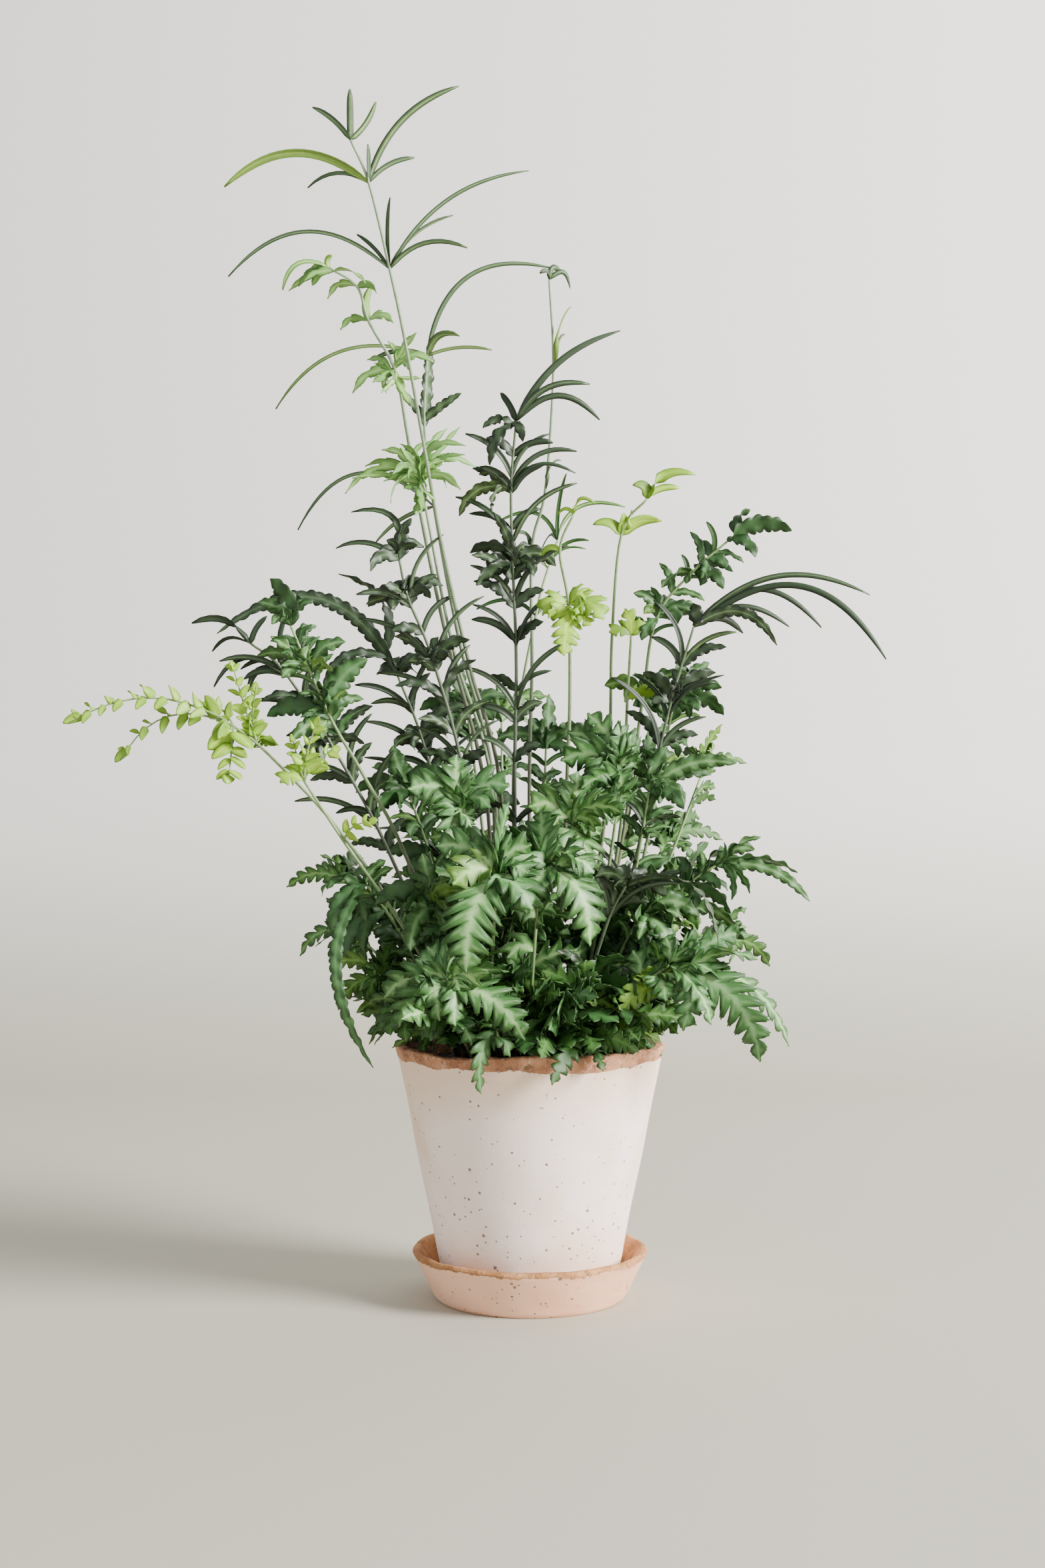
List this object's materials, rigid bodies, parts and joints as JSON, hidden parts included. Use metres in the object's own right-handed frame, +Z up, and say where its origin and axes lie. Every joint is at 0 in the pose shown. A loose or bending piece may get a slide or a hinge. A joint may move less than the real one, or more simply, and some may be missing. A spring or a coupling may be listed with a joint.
{
  "type": "potted fern",
  "caption": "Lace fern with tall wiry fronds and lobed silver-veined leaflets in a tapered limewashed terracotta pot, standing on a matching saucer.",
  "frame": {"origin": "middle of the saucer's flat underside, on the pot's axis", "axes": "+Z up along the pot's axis; the front of the plant faces -Y"},
  "size_m": [0.4537, 0.2878, 0.6662],
  "materials": {
    "pot_clay": "dry limewashed terracotta with a raw torn rim",
    "saucer_clay": "dry limewashed terracotta, raw inside and along its rim",
    "potting_mix": "dark crumbly potting mix",
    "fern_fertile": "narrow dark green leaflets on wiry grey-green stalks",
    "fern_sterile": "lobed wavy green leaflets",
    "fern_variegated": "green leaflets with silver-white midribs",
    "fern_young": "soft yellow-green young leaflets"
  },
  "bodies": {
    "root": {"frond_back_1": "fern_sterile", "frond_back_10": "fern_sterile", "frond_back_11": "fern_sterile", "frond_back_12": "fern_sterile", "frond_back_2": "fern_sterile", "frond_back_3": "fern_sterile", "frond_back_4": "fern_sterile", "frond_back_5": "fern_sterile", "frond_back_6": "fern_sterile", "frond_back_7": "fern_sterile", "frond_back_8": "fern_sterile", "frond_back_9": "fern_sterile", "frond_dark_1": "fern_fertile", "frond_dark_2": "fern_fertile", "frond_dark_3": "fern_fertile", "frond_dark_4": "fern_fertile", "frond_dark_5": "fern_fertile", "frond_dark_6": "fern_fertile", "frond_green_1": "fern_sterile", "frond_green_10": "fern_sterile", "frond_green_11": "fern_sterile", "frond_green_12": "fern_sterile", "frond_green_13": "fern_sterile", "frond_green_14": "fern_sterile", "frond_green_15": "fern_sterile", "frond_green_2": "fern_sterile", "frond_green_3": "fern_sterile", "frond_green_4": "fern_sterile", "frond_green_5": "fern_sterile", "frond_green_6": "fern_sterile", "frond_green_7": "fern_sterile", "frond_green_8": "fern_sterile", "frond_green_9": "fern_sterile", "frond_lime_1": "fern_young", "frond_lime_2": "fern_young", "frond_lime_3": "fern_young", "frond_lime_4": "fern_young", "frond_lime_5": "fern_young", "frond_low_1": "fern_sterile", "frond_low_2": "fern_sterile", "frond_low_3": "fern_sterile", "frond_low_4": "fern_sterile", "frond_low_5": "fern_sterile", "frond_low_6": "fern_sterile", "frond_pale_1": "fern_young", "frond_pale_2": "fern_young", "frond_silver_1": "fern_variegated", "frond_silver_2": "fern_variegated", "frond_silver_3": "fern_variegated", "frond_silver_4": "fern_variegated", "frond_silver_5": "fern_variegated", "frond_silver_6": "fern_variegated", "frond_silver_7": "fern_variegated", "frond_tall_1": "fern_fertile", "frond_tall_2": "fern_fertile", "frond_tall_3": "fern_fertile", "pot": "pot_clay", "potting_mix": "potting_mix", "saucer": "saucer_clay"}
  },
  "joints": []
}
